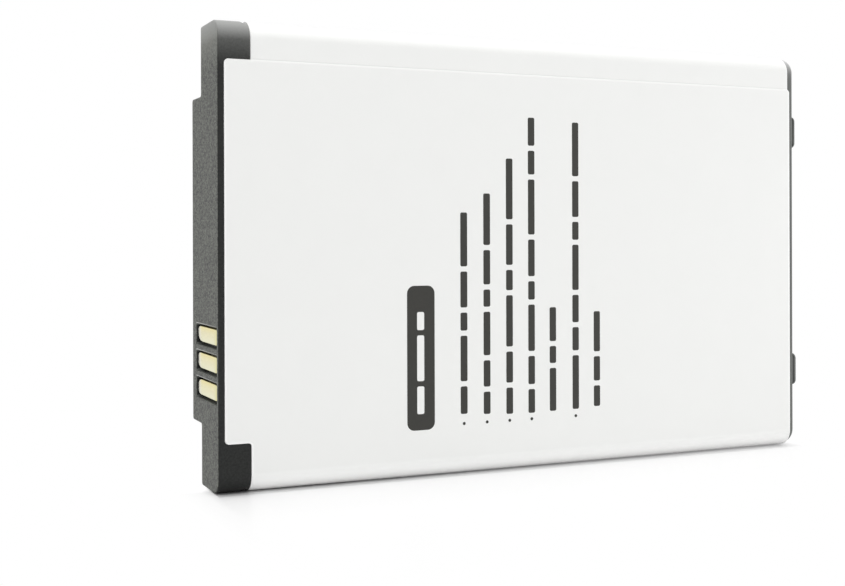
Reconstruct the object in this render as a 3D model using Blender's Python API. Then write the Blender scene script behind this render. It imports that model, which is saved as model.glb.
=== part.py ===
"""Rechargeable pack for a compact camera, standing on its long narrow side.

The pack is a flat metal cell with a moulded cap on each end and a printed film wrapped round it.
Every size below is in millimetres, in the pack's own coordinates:
x runs from the contact face to the base, y from the printed face to the back, z up from the
side that the pack stands on. The model itself is in metres, with its origin in the middle of
the bottom of its box.
"""

import math

import bmesh
import bpy

MM = 0.001

# The whole pack
body_length = 54.85
body_width = 35.98
body_thickness = 7.9
corner_radius = 1.5
contact_edge_radius = 0.12
base_edge_radius = 1.05

# Fits
play = 0.02
film = 0.08
arc_steps = 8
cut_past = 1.0

# Contact cap
rim_length = 2.55
skirt_length = 3.0
end_wall = 0.6
side_wall = 0.6
key_front = 5.1
key_top = 5.45
key_bottom = 4.8
key_depth = 2.0
key_radius = 0.25
groove_place = 2.22
groove_width = 0.56
groove_depth = 0.28

# Contact windows and pads
window_count = 3
window_pitch = 2.1
window_middle = 9.685
window_height = 1.65
window_near = 0.5
window_far = 6.65
window_radius = 0.15
pad_height = 1.2
pad_rise = 0.045
pad_radius = 0.42
pad_recess = 0.1
pad_end_gap = 0.08
pad_edge = 0.05

# Film
panel_start = 0.49
panel_overhang = 0.17
panel_bottom = 3.83
panel_top = 32.95
panel_radius = 0.35
panel_fillet = 0.25
panel_seam = 0.02
panel_bond = 0.005

# Base cap
base_thickness = 1.25
base_rim_inset = 0.12
base_pad_thickness = 0.13
base_pad_margin = 1.4
pip_length = 2.95
pip_height_low = 0.37
pip_height_high = 0.3
pip_edge = 0.6
pip_low_place = 7.01
pip_high_place = 29.04
pip_radius = 0.26
pip_corner = 0.5

# Circuit board and what it carries
board_thickness = 0.6
board_play = 0.05
board_corner = 0.3
headroom = 1.4
tab_length = 2.4
tab_width = 3.0
tab_thickness = 0.3
tab_edge = 0.04
strip_width = 2.5
strip_thickness = 0.12
strip_bend = 0.3
positive_bend_place = 10.2
negative_bend_place = 25.6
weld_length = 1.9
weld_gap = 0.3

# Bracket between the board and the cell
bracket_wall = 0.45
bracket_floor = 0.6
bracket_slot = 0.5
bracket_rail_end = 1.0

# Cell
can_wall = 0.35
can_end_radius = 1.0
lid_thickness = 0.8
lid_recess = 0.1
insulator_thickness = 0.15
insulator_margin_y = 1.1
insulator_margin_z = 2.0
gasket_radius = 1.45
gasket_flange_radius = 1.95
gasket_flange = 0.25
stem_radius = 0.8
terminal_length = 3.2
terminal_width = 2.4
terminal_plate = 0.3
plug_place = 29.6
plug_radius = 0.5
cutoff_length = 3.6
cutoff_width = 2.8
cutoff_thickness = 0.9
cutoff_edge = 0.08
lead_gap = 0.9

# Moulded packages and two-ended chips on the board
package_stand = 0.1
package_taper = 0.1
package_waist = 0.45
lead_width = 0.36
lead_sheet = 0.15
lead_root = 0.3
chip_length = 1.6
chip_width = 0.74
chip_cap_length = 0.3
chip_cap_proud = 0.04
mosfet_height = 1.0
mosfet_width = 3.2
mosfet_length = 3.0
mosfet_lead_pitch = 0.65
mosfet_lead_span = 4.7
mosfet_place = 2.6
controller_height = 1.1
controller_width = 1.6
controller_length = 2.9
controller_lead_pitch = 0.95
controller_lead_span = 2.8
controller_side = 0.7
controller_place = -1.4
resistor_height = 0.5
capacitor_height = 0.8
small_row_place = -4.2
small_row_pitch = 1.5
sense_side = -1.6
thermistor_side = 1.2
thermistor_place = 5.8

# What follows from the sizes above
pip_reach = max(pip_height_low, pip_height_high)
overall_length = body_length + pip_reach
film_seat = 2 * film + 2 * play
panel_seat = film + 2 * play
skirt_end = rim_length + skirt_length
inner_inset = film_seat + side_wall
wrap_start = rim_length + play
rim_start = body_length - base_edge_radius
wrap_end = rim_start - play
panel_end = rim_start + panel_overhang
middle_y = body_thickness / 2
middle_z = body_width / 2

board_front = end_wall + play
board_back = board_front + board_thickness
board_y0 = inner_inset + board_play
board_y1 = body_thickness - board_y0
board_z0 = key_bottom + side_wall + board_play
board_z1 = body_width - key_top - side_wall - board_play
board_middle_z = (board_z0 + board_z1) / 2
mount_plane = board_back + play
bracket_front = board_back + headroom
bracket_back = bracket_front + bracket_floor

cell_start = skirt_end + play
cell_end = body_length - base_thickness - play
lid_front = cell_start + lid_recess
lid_back = lid_front + lid_thickness
insulator_back = lid_front - play
insulator_front = insulator_back - insulator_thickness
gasket_top = insulator_back - gasket_flange
terminal_front = gasket_top - play - terminal_plate
lead_back = terminal_front - play
lead_front = lead_back - strip_thickness
cutoff_z0 = middle_z + terminal_length / 2 + lead_gap
cutoff_z1 = cutoff_z0 + cutoff_length


def clear_scene():
    for item in list(bpy.data.objects):
        bpy.data.objects.remove(item, do_unlink=True)


def make_material(name, colour, roughness, metallic=0.0):
    material = bpy.data.materials.new(name)
    material.use_nodes = True
    shader = material.node_tree.nodes["Principled BSDF"]
    shader.inputs["Base Color"].default_value = (*colour, 1.0)
    shader.inputs["Roughness"].default_value = roughness
    shader.inputs["Metallic"].default_value = metallic
    material.diffuse_color = (*colour, 1.0)
    return material


def place(x, y, z):
    """Turns pack coordinates in millimetres into the model's metres."""
    return ((x - overall_length / 2) * MM, (y - body_thickness / 2) * MM, z * MM)


def add_object(name, points, faces, material=None):
    mesh = bpy.data.meshes.new(name)
    mesh.from_pydata([place(*point) for point in points], [], faces)
    builder = bmesh.new()
    builder.from_mesh(mesh)
    bmesh.ops.recalc_face_normals(builder, faces=builder.faces)
    builder.to_mesh(mesh)
    builder.free()
    item = bpy.data.objects.new(name, mesh)
    bpy.context.scene.collection.objects.link(item)
    if material:
        mesh.materials.append(material)
    return item


def loft(name, sections, material=None):
    """Skins a row of closed outlines with as many points each, and closes both ends."""
    count = len(sections[0])
    points = [point for section in sections for point in section]
    faces = [tuple(range(count))]
    for row in range(len(sections) - 1):
        start = row * count
        for index in range(count):
            following = (index + 1) % count
            faces.append((start + index, start + following,
                          start + count + following, start + count + index))
    faces.append(tuple(range(len(points) - count, len(points))))
    return add_object(name, points, faces, material)


def arc(centre_u, centre_v, radius, start, end, steps):
    """Points of an arc in a plane, from one angle to the other in degrees."""
    points = []
    for step in range(steps + 1):
        angle = math.radians(start + (end - start) * step / steps)
        points.append((centre_u + radius * math.cos(angle), centre_v + radius * math.sin(angle)))
    return points


def rounded_rectangle(u0, u1, v0, v1, radius, steps=4):
    """Outline of a rectangle with round corners, anticlockwise from its lower right corner."""
    radius = min(radius, 0.49 * (u1 - u0), 0.49 * (v1 - v0))
    return (arc(u1 - radius, v0 + radius, radius, -90, 0, steps)
            + arc(u1 - radius, v1 - radius, radius, 0, 90, steps)
            + arc(u0 + radius, v1 - radius, radius, 90, 180, steps)
            + arc(u0 + radius, v0 + radius, radius, 180, 270, steps))


def body_outline(inset):
    """The pack's cross-section, moved inwards by an even inset."""
    return rounded_rectangle(inset, body_thickness - inset, inset, body_width - inset,
                             max(corner_radius - inset, 0.1), arc_steps)


def body_section(x, inset):
    return [(x, y, z) for y, z in body_outline(inset)]


def edge_sections(x_face, x_full, inset, radius, steps):
    """Sections of a rounded end edge, from the end face inwards."""
    side = 1 if x_full > x_face else -1
    sections = []
    for step in range(steps + 1):
        angle = math.radians(90 * step / steps)
        x = x_face + side * radius * (1 - math.sin(angle))
        sections.append(body_section(x, inset + radius * (1 - math.cos(angle))))
    return list(reversed(sections))


def prism_x(name, outline, x0, x1, material=None):
    return loft(name, [[(x, y, z) for y, z in outline] for x in (x0, x1)], material)


def prism_y(name, outline, y0, y1, material=None):
    return loft(name, [[(x, y, z) for x, z in outline] for y in (y0, y1)], material)


def block(name, x0, x1, y0, y1, z0, z1, material=None):
    return prism_x(name, [(y0, z0), (y1, z0), (y1, z1), (y0, z1)], x0, x1, material)


def slab(name, x0, x1, y0, y1, z0, z1, radius, material=None, edge=0.0, steps=4):
    """A plate with round corners, and with a chamfered front edge where asked."""
    full = rounded_rectangle(y0, y1, z0, z1, radius, steps)
    sections = [(x1, full)]
    if edge:
        less = rounded_rectangle(y0 + edge, y1 - edge, z0 + edge, z1 - edge,
                                 max(radius - edge, 0.02), steps)
        sections = [(x0, less), (x0 + edge, full)] + sections
    else:
        sections = [(x0, full)] + sections
    return loft(name, [[(x, y, z) for y, z in outline] for x, outline in sections], material)


def turned_grid(profile, y, z, steps, closed):
    """Points and side faces of (x, radius) pairs turned about an axis along x."""
    points = []
    for x, radius in profile:
        for step in range(steps):
            angle = 2 * math.pi * step / steps
            points.append((x, y + radius * math.cos(angle), z + radius * math.sin(angle)))
    faces = []
    for row in range(len(profile) if closed else len(profile) - 1):
        below = row * steps
        above = (row + 1) % len(profile) * steps
        for step in range(steps):
            following = (step + 1) % steps
            faces.append((below + step, below + following, above + following, above + step))
    return points, faces


def turned_solid(name, profile, y, z, steps=24, material=None):
    """A turned solid whose two ends are flat discs."""
    points, faces = turned_grid(profile, y, z, steps, False)
    faces.append(tuple(range(steps)))
    faces.append(tuple(range(len(points) - steps, len(points))))
    return add_object(name, points, faces, material)


def turned_ring(name, profile, y, z, steps=24, material=None):
    """A turned ring: the profile is a closed loop that stays off the axis."""
    points, faces = turned_grid(profile, y, z, steps, True)
    return add_object(name, points, faces, material)


def combine(target, tool, operation):
    """Applies one Boolean to the target and removes the tool."""
    modifier = target.modifiers.new("combine", "BOOLEAN")
    modifier.object = tool
    modifier.operation = operation
    modifier.solver = "EXACT"
    graph = bpy.context.evaluated_depsgraph_get()
    result = bpy.data.meshes.new_from_object(target.evaluated_get(graph))
    target.modifiers.clear()
    target.data = result
    bpy.data.objects.remove(tool, do_unlink=True)
    return target


def cut(target, *tools):
    for tool in tools:
        combine(target, tool, "DIFFERENCE")
    return target


def join(target, *tools):
    for tool in tools:
        combine(target, tool, "UNION")
    return target


def shade(item, angle=30):
    item.data.shade_smooth()
    item.data.set_sharp_from_angle(angle=math.radians(angle))
    return item


def ribbon(name, path, y0, y1, thickness, bend, material):
    """A flat strip bent along a path of (x, z) points, with an arc at every bend."""
    left, right = [], []
    half = thickness / 2
    for index, point in enumerate(path):
        before = path[index - 1] if index else None
        after = path[index + 1] if index + 1 < len(path) else None
        directions = []
        for first, second in ((before, point), (point, after)):
            if first and second:
                length = math.dist(first, second)
                directions.append(((second[0] - first[0]) / length, (second[1] - first[1]) / length))
        if len(directions) == 1:
            normal = (-directions[0][1], directions[0][0])
            left.append((point[0] + normal[0] * half, point[1] + normal[1] * half))
            right.append((point[0] - normal[0] * half, point[1] - normal[1] * half))
            continue
        first, second = directions
        turn = 1 if first[0] * second[1] - first[1] * second[0] > 0 else -1
        start = (point[0] - first[0] * bend, point[1] - first[1] * bend)
        centre = (start[0] - turn * first[1] * bend, start[1] + turn * first[0] * bend)
        angle = math.degrees(math.atan2(start[1] - centre[1], start[0] - centre[0]))
        for side, rail in ((1, left), (-1, right)):
            radius = bend - turn * side * half
            rail.extend(arc(centre[0], centre[1], radius, angle, angle + 90 * turn, 5))
    return prism_y(name, left + list(reversed(right)), y0, y1, material)


def key_blocks(grow, x1):
    """Tools for the two stepped back corners, grown on every inner side by a wall."""
    y0 = key_front - grow
    y1 = body_thickness + cut_past
    tools = []
    for z0, z1 in ((-cut_past, key_bottom + grow),
                   (body_width - key_top - grow, body_width + cut_past)):
        outline = rounded_rectangle(y0, y1, z0, z1, key_radius, 4)
        tools.append(prism_x("key_tool", outline, -cut_past, x1))
    return tools


def panel_outline(x0, x1, z0, z1, step=None, z_step=0.0):
    """Outline of the panel on the printed face, with a filleted step down at x = step if given."""
    if step is None:
        return rounded_rectangle(x0, x1, z0, z1, panel_radius, 4)
    fillet = arc(step - panel_fillet, z0 - panel_fillet, panel_fillet, 90, 0, 4)
    corner = arc(x0 + panel_radius, z0 + panel_radius, panel_radius, 270, 180, 4)
    top = arc(x0 + panel_radius, z1 - panel_radius, panel_radius, 180, 90, 4)
    return corner + top + [(x1, z1), (x1, z_step), (step, z_step)] + list(reversed(fillet))


def corner_strip(x0, x1, outer, inner, top):
    """A strip round the printed face's lower corner, between two insets of the body's outline."""
    radius = corner_radius
    outside = arc(radius, radius, radius - outer, 180, 270, arc_steps)
    inside = arc(radius, radius, radius - inner, 270, 180, arc_steps)
    outline = [(outer, top)] + outside + inside + [(inner, top)]
    return prism_x("corner_strip", outline, x0, x1)


def window_places():
    middle = (window_count - 1) / 2
    return [window_middle + (index - middle) * window_pitch for index in range(window_count)]


def groove_tool(z_surface, outwards):
    """A V across a narrow side, made twice as wide and deep so that it reaches past the surface."""
    past = z_surface + outwards * groove_depth
    bottom = z_surface - outwards * groove_depth
    outline = [(groove_place - groove_width, past), (groove_place, bottom),
               (groove_place + groove_width, past)]
    margin = 0.3 * corner_radius
    return prism_y("groove_tool", outline, margin, body_thickness - margin)


def make_contact_cap(material):
    """Moulded cap: keyed back corners, windows in its end wall, a seat for the film, a skirt."""
    sections = edge_sections(0, rim_length, 0, contact_edge_radius, 4)
    sections.append(body_section(rim_length, 0))
    sections.append(body_section(rim_length, film_seat))
    sections.append(body_section(skirt_end, film_seat))
    cap = loft("contact_cap", sections, material)
    cut(cap, *key_blocks(0, key_depth))
    deep = prism_x("deep_tool", body_outline(inner_inset), key_depth + side_wall, skirt_end + cut_past)
    front = prism_x("front_tool", body_outline(inner_inset), end_wall, key_depth + side_wall + 0.5)
    cut(front, *key_blocks(side_wall, key_depth + side_wall))
    cut(cap, deep, front)
    for z in window_places():
        outline = rounded_rectangle(window_near, window_far, z - window_height / 2,
                                    z + window_height / 2, window_radius, 3)
        cut(cap, prism_x("window_tool", outline, -cut_past, end_wall + play / 2))
    outline = panel_outline(panel_start - play, skirt_end + cut_past, panel_bottom - play,
                            panel_top + play, rim_length, panel_bottom - 2 * panel_fillet)
    cut(cap, prism_y("panel_tool", outline, -cut_past, panel_seat))
    cut(cap, groove_tool(0, -1), groove_tool(body_width, 1))
    return shade(cap)


def make_base_cap(material):
    """Moulded base: a plate with a rounded rim that the panel lies over, a seat, two pips."""
    base_inner = body_length - base_thickness
    sections = [body_section(base_inner, film_seat), body_section(rim_start, film_seat)]
    sections += reversed(edge_sections(body_length, rim_start, base_rim_inset, base_edge_radius, 6))
    cap = loft("base_cap", sections, material)
    margin = base_pad_margin - play
    pocket = slab("pocket_tool", base_inner - cut_past, base_inner + base_pad_thickness, margin,
                  body_thickness - margin, margin, body_width - margin, corner_radius)
    cut(cap, pocket)
    for z, height in ((pip_low_place, pip_height_low), (pip_high_place, pip_height_high)):
        sections = []
        x_top = body_length + height
        for step in range(5):
            angle = math.radians(90 * step / 4)
            inset = pip_radius * (1 - math.cos(angle))
            x = x_top - pip_radius * (1 - math.sin(angle))
            outline = rounded_rectangle(pip_edge + inset, body_thickness - pip_edge - inset,
                                        z - pip_length / 2 + inset, z + pip_length / 2 - inset,
                                        pip_corner, 4)
            sections.append([(x, y, zz) for y, zz in outline])
        root = rounded_rectangle(pip_edge, body_thickness - pip_edge, z - pip_length / 2,
                                 z + pip_length / 2, pip_corner, 4)
        sections.insert(0, [(body_length - base_edge_radius / 2, y, zz) for y, zz in root])
        join(cap, loft("pip", sections))
    return shade(cap)


def make_wrap_label(material):
    """Film round the cell and the skirts: the printed panel lies over the first turn."""
    outer_inset = play
    single_inset = play + film
    inner_inset_film = film_seat - play
    inner = body_outline(inner_inset_film)
    outer = []
    for (y_in, z_in), (y_two, z_two), (y_one, z_one) in zip(inner, body_outline(outer_inset),
                                                            body_outline(single_inset)):
        on_panel_side = y_in < middle_y and z_in < middle_z
        outer.append((y_two, z_two) if on_panel_side else (y_one, z_one))
    turn = 3 * (arc_steps + 1)
    outer[turn:turn] = [(single_inset, panel_top + panel_seam), (outer_inset, panel_top)]
    inner[turn:turn] = [(inner_inset_film, panel_top + panel_seam), (inner_inset_film, panel_top)]
    count = len(outer)
    points = []
    for x in (wrap_start, wrap_end):
        points += [(x, y, z) for y, z in outer]
        points += [(x, y, z) for y, z in inner]
    faces = []
    for index in range(count):
        following = (index + 1) % count
        far = 2 * count
        faces.append((index, following, far + following, far + index))
        faces.append((count + index, count + following, far + count + following, far + count + index))
        faces.append((index, following, count + following, count + index))
        faces.append((far + index, far + following, far + count + following, far + count + index))
    label = add_object("wrap_label", points, faces, material)
    upper = panel_top - panel_seam
    tongues = (panel_outline(panel_start, skirt_end, panel_bottom, upper, wrap_start,
                             panel_bottom - 2 * panel_fillet),
               panel_outline(wrap_end - skirt_length, panel_end, corner_radius, upper))
    for outline in tongues:
        join(label, prism_y("tongue", outline, outer_inset + panel_bond, single_inset))
    join(label, corner_strip(wrap_end - skirt_length / 2, panel_end, outer_inset + 2 * panel_bond,
                             single_inset, corner_radius + 2 * panel_radius))
    return shade(label)


def make_pads(material):
    """Gold contact pads on the board, standing in their windows."""
    names = ("contact_pad_negative", "contact_pad_signal", "contact_pad_positive")
    for name, z in zip(names, window_places()):
        low = z + pad_rise - pad_height / 2
        pad = slab(name, pad_recess, end_wall, board_y0 + pad_end_gap, window_far - pad_end_gap,
                   low, low + pad_height, pad_radius, material, edge=pad_edge, steps=6)
        shade(pad)


def make_cell(can_material, lid_material, seal_material, nickel):
    """Drawn can, welded lid, terminal in its gasket, and the plug of the filling hole."""
    sections = [body_section(cell_start, film_seat)]
    sections += reversed(edge_sections(cell_end, cell_start, film_seat, can_end_radius, 5))
    can = loft("cell_can", sections, can_material)
    mouth = film_seat + can_wall
    cut(can, prism_x("mouth_tool", body_outline(mouth), cell_start - cut_past, lid_back + play))
    shade(can)
    lid = prism_x("cell_lid", body_outline(mouth + play), lid_front, lid_back, lid_material)
    for radius, z in ((gasket_radius + play, middle_z), (plug_radius + play, plug_place)):
        hole = [(lid_front - cut_past, radius), (lid_back + cut_past, radius)]
        cut(lid, turned_solid("hole_tool", hole, middle_y, z))
    shade(lid)
    bore = stem_radius + play
    profile = [(gasket_top, bore), (gasket_top, gasket_flange_radius),
               (insulator_back, gasket_flange_radius), (insulator_back, gasket_radius),
               (lid_back, gasket_radius), (lid_back, bore)]
    shade(turned_ring("terminal_gasket", profile, middle_y, middle_z, 24, seal_material))
    plate = slab("cell_terminal", terminal_front, gasket_top - play, middle_y - terminal_width / 2,
                 middle_y + terminal_width / 2, middle_z - terminal_length / 2,
                 middle_z + terminal_length / 2, 0.3, nickel)
    overlap = terminal_plate / 2
    stem = turned_solid("stem", [(gasket_top - play - overlap, stem_radius), (lid_back, stem_radius)],
                        middle_y, middle_z)
    shade(join(plate, stem))
    profile = [(lid_front + play, plug_radius * 0.8), (lid_front + 0.1, plug_radius),
               (lid_back - 0.1, plug_radius), (lid_back, plug_radius * 0.8)]
    shade(turned_solid("fill_plug", profile, middle_y, plug_place, 16, lid_material))


def make_insulator(material):
    """Sheet on the lid, open at the terminal and at the positive weld."""
    sheet = slab("lid_insulator", insulator_front, insulator_back, insulator_margin_y,
                 body_thickness - insulator_margin_y, insulator_margin_z,
                 body_width - insulator_margin_z, 0.6, material)
    hole = [(insulator_front - cut_past, gasket_flange_radius + play),
            (insulator_back + cut_past, gasket_flange_radius + play)]
    cut(sheet, turned_solid("hole_tool", hole, middle_y, middle_z))
    half = strip_width / 2 + weld_gap
    cut(sheet, block("weld_tool", insulator_front - cut_past, insulator_back + cut_past, middle_y - half,
                     middle_y + half, positive_bend_place - weld_gap,
                     positive_bend_place + weld_length + weld_gap))
    shade(sheet)


def make_board(material):
    outline = rounded_rectangle(board_y0, board_y1, board_z0, board_z1, board_corner, 3)
    shade(prism_x("protection_board", outline, board_front, board_back, material))


def make_bracket(material):
    """Tray that stands on the board's rim, with two rails that stand on the lid's sheet."""
    outline = rounded_rectangle(board_y0, board_y1, board_z0, board_z1, board_corner, 3)
    tray = prism_x("board_bracket", outline, mount_plane, bracket_back, material)
    hollow = rounded_rectangle(board_y0 + bracket_wall, board_y1 - bracket_wall,
                               board_z0 + bracket_wall, board_z1 - bracket_wall, board_corner, 3)
    cut(tray, prism_x("hollow_tool", hollow, mount_plane - cut_past, bracket_front))
    half = strip_width / 2 + bracket_slot / 2
    for z in (positive_bend_place, negative_bend_place):
        cut(tray, block("slot_tool", bracket_front - cut_past, bracket_back + cut_past, middle_y - half,
                        middle_y + half, z - bracket_slot, z + bracket_slot))
    rail_y0 = insulator_margin_y + play
    for y0 in (rail_y0, body_thickness - rail_y0 - bracket_wall):
        join(tray, block("rail", bracket_back - bracket_floor / 2, insulator_front - play, y0,
                         y0 + bracket_wall, board_z0 + bracket_rail_end,
                         board_z1 - bracket_rail_end))
    shade(tray)


def make_strips(nickel):
    """Nickel links: the cell's lid to one tab, the terminal through the cut-off to the other."""
    y0 = middle_y - strip_width / 2
    y1 = middle_y + strip_width / 2
    half = strip_thickness / 2
    weld_x = mount_plane + tab_thickness + play + half
    lid_x = insulator_back - half
    path = [(lid_x, positive_bend_place + weld_length), (lid_x, positive_bend_place),
            (weld_x, positive_bend_place), (weld_x, positive_bend_place - tab_length)]
    shade(ribbon("positive_strip", path, y0, y1, strip_thickness, strip_bend, nickel))
    lead_x = lead_front + half
    path = [(lead_x, cutoff_z1 + play), (lead_x, negative_bend_place),
            (weld_x, negative_bend_place), (weld_x, negative_bend_place + tab_length)]
    shade(ribbon("negative_strip", path, y0, y1, strip_thickness, strip_bend, nickel))
    slab("terminal_lead", lead_front, lead_back, y0, y1, middle_z - terminal_length / 2 + 0.3,
         cutoff_z0 - play, 0.1, nickel)
    for name, z in (("board_tab_positive", positive_bend_place - strip_bend - tab_length),
                    ("board_tab_negative", negative_bend_place + strip_bend)):
        slab(name, mount_plane, mount_plane + tab_thickness, middle_y - tab_width / 2,
             middle_y + tab_width / 2, z, z + tab_length, 0.15, nickel, edge=tab_edge)


def make_cutoff(material):
    """Thermal cut-off: a small moulded block on the lid's sheet beside the terminal."""
    x1 = insulator_front - play
    slab("thermal_cutoff", x1 - cutoff_thickness, x1, middle_y - cutoff_width / 2,
         middle_y + cutoff_width / 2, cutoff_z0, cutoff_z1, 0.2, material, edge=cutoff_edge)


def make_chip(name, offset_y, offset_z, body, lead_rows, lead_pitch, lead_span, material):
    """A moulded package with drafted sides and bent leads along both of its long sides."""
    height, width, length = body
    y = middle_y + offset_y
    z = board_middle_z + offset_z
    waist = mount_plane + height * package_waist
    sections = []
    rows = ((mount_plane + package_stand, package_taper), (waist, 0),
            (mount_plane + height, package_taper))
    for x, less in rows:
        half_y = width / 2 - less
        half_z = length / 2 - less
        sections.append([(x, y - half_y, z - half_z), (x, y + half_y, z - half_z),
                         (x, y + half_y, z + half_z), (x, y - half_y, z + half_z)])
    chip = loft(name, sections, material)
    sheet = lead_sheet
    for row in range(lead_rows):
        lead_z = z + (row - (lead_rows - 1) / 2) * lead_pitch
        for side in (-1, 1):
            inside = width / 2 - lead_root
            reach = lead_span / 2
            knee = (width / 2 + reach) / 2
            outline = [(waist - sheet / 2, inside), (waist + sheet / 2, inside),
                       (waist + sheet / 2, knee), (mount_plane + sheet, knee + sheet / 2),
                       (mount_plane + sheet, reach), (mount_plane, reach),
                       (mount_plane, knee - sheet / 2), (waist - sheet / 2, knee - sheet)]
            sides = [[(x, y + side * yy, lead_z + shift) for x, yy in outline]
                     for shift in (-lead_width / 2, lead_width / 2)]
            join(chip, loft("lead", sides))
    return chip


def make_small_part(name, offset_y, offset_z, height, material):
    """A two-ended chip part: a ceramic body with a raised metal cap at each end."""
    y = middle_y + offset_y
    z = board_middle_z + offset_z
    proud = chip_cap_proud
    tip = chip_length / 2
    cap = tip - chip_cap_length
    rows = []
    for z_at, grow in ((-tip, 0), (-tip + proud, proud), (-cap, proud), (-cap, 0),
                       (cap, 0), (cap, proud), (tip - proud, proud), (tip, 0)):
        half = chip_width / 2 + grow
        low = mount_plane + proud - grow
        high = mount_plane + height - proud + grow
        rows.append([(low, y - half, z + z_at), (high, y - half, z + z_at),
                     (high, y + half, z + z_at), (low, y + half, z + z_at)])
    return loft(name, rows, material)


def make_base_pad(material):
    x0 = body_length - base_thickness
    slab("base_pad", x0, x0 + base_pad_thickness - play, base_pad_margin,
         body_thickness - base_pad_margin, base_pad_margin, body_width - base_pad_margin,
         corner_radius, material)


def build():
    clear_scene()
    black = make_material("moulded_black", (0.028, 0.029, 0.028), 0.5)
    white = make_material("printed_film", (0.84, 0.85, 0.84), 0.35)
    gold = make_material("gold_plate", (0.80, 0.68, 0.40), 0.25, 1.0)
    nickel = make_material("nickel", (0.62, 0.60, 0.56), 0.35, 1.0)
    aluminium = make_material("drawn_aluminium", (0.78, 0.78, 0.79), 0.4, 1.0)
    fibre = make_material("board_green", (0.02, 0.16, 0.07), 0.45)
    resin = make_material("package_black", (0.02, 0.02, 0.02), 0.6)
    ceramic = make_material("chip_ceramic", (0.45, 0.33, 0.22), 0.5)
    carrier = make_material("bracket_white", (0.72, 0.72, 0.70), 0.55)
    seal = make_material("gasket_resin", (0.60, 0.62, 0.62), 0.4)
    paper = make_material("insulating_sheet", (0.55, 0.47, 0.33), 0.8)
    foam = make_material("adhesive_pad", (0.12, 0.12, 0.12), 0.9)

    make_contact_cap(black)
    make_base_cap(black)
    make_wrap_label(white)
    make_pads(gold)
    make_cell(aluminium, aluminium, seal, nickel)
    make_insulator(paper)
    make_board(fibre)
    make_bracket(carrier)
    make_strips(nickel)
    make_cutoff(resin)
    make_chip("switch_mosfet", 0, mosfet_place, (mosfet_height, mosfet_width, mosfet_length),
              4, mosfet_lead_pitch, mosfet_lead_span, resin)
    make_chip("protection_ic", controller_side, controller_place,
              (controller_height, controller_width, controller_length),
              3, controller_lead_pitch, controller_lead_span, resin)
    make_small_part("sense_resistor", sense_side, controller_place, resistor_height, ceramic)
    make_small_part("filter_resistor", -small_row_pitch, small_row_place, resistor_height, ceramic)
    make_small_part("filter_capacitor", 0, small_row_place, capacitor_height, ceramic)
    make_small_part("bypass_capacitor", small_row_pitch, small_row_place, capacitor_height, ceramic)
    make_small_part("thermistor", thermistor_side, thermistor_place, capacitor_height, ceramic)
    make_base_pad(foam)


build()
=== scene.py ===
"""Looks of a compact camera's battery pack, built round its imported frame.

The frame holds the pack's solids. This script adds the fine surfaces that are seen: the two moulded
caps, the film with its print, and the gold contacts. It gives every piece its finish and sets the
stage. Lengths are in metres. "Pack coordinates" run x from the contact face to the base, y from the
printed face to the back, and z up from the side that the pack stands on.
"""

import math
from functools import cached_property, partial

import bmesh
import bpy
import numpy as np
from bpy.props import FloatProperty, FloatVectorProperty, IntProperty, PointerProperty
from mathutils import Matrix, Vector
from mathutils.geometry import delaunay_2d_cdt


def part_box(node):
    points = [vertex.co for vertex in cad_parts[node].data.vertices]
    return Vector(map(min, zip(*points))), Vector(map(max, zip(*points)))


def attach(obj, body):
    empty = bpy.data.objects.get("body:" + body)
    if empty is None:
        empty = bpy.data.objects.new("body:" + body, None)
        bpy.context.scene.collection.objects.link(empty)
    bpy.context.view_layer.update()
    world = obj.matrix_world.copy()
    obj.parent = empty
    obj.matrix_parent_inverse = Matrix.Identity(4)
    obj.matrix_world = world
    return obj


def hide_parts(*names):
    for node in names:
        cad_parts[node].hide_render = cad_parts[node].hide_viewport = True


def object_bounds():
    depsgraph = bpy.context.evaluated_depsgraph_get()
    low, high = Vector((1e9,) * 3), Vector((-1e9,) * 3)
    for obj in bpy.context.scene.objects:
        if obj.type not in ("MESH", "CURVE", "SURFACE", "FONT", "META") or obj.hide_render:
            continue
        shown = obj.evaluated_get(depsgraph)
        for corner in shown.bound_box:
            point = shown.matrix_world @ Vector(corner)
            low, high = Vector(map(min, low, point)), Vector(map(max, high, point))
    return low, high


bl_info = {
    "name": "Camera battery pack",
    "version": (1, 0, 0),
    "blender": (4, 5, 0),
    "location": "View3D > Sidebar > Battery pack",
    "description": "Builds the caps, film, print, contacts and stage round the packed frame",
    "category": "Object",
}

MM = 0.001
BODY = "root"
SMALLEST_RADIUS = 0.004 * MM

# Steps in the arcs and round edges of the outer pieces
LIP_STEPS = 4
EDGE_STEPS = 8
BASE_EDGE_STEPS = 12
PAD_EDGE_STEPS = 6
SMALL_ARC_STEPS = 6
ARC_STEPS = 8
PAD_ARC_STEPS = 10
WRAP_ARC_STEPS = 96

# Caps
RIM_LIP = 0.08 * MM
WINDOW_RADIUS = 0.15 * MM
GROOVE_PLACE = 2.22 * MM
GROOVE_WIDTH = 0.56 * MM
GROOVE_DEPTH = 0.28 * MM
GROOVE_MARGIN = 0.3

# Contacts: how far each sits above the middle of its window, and the corner radii of each from
# the lowest up, before they are stretched along y. The crown's rings lie at shares of the way in.
PAD_RISE = 0.045 * MM
PAD_CORNERS = np.array([
    (0.12, 0.45, 0.55, 0.12), (0.12, 0.6, 0.36, 0.12), (0.12, 0.72, 0.4, 0.12)]) * MM
PAD_STRETCH = np.array([1.8, 1.0])
PAD_EDGE = 0.04 * MM
PAD_CROWN = 0.02 * MM
CROWN_SHARES = np.linspace(0.15, 0.999, 6)

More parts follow.
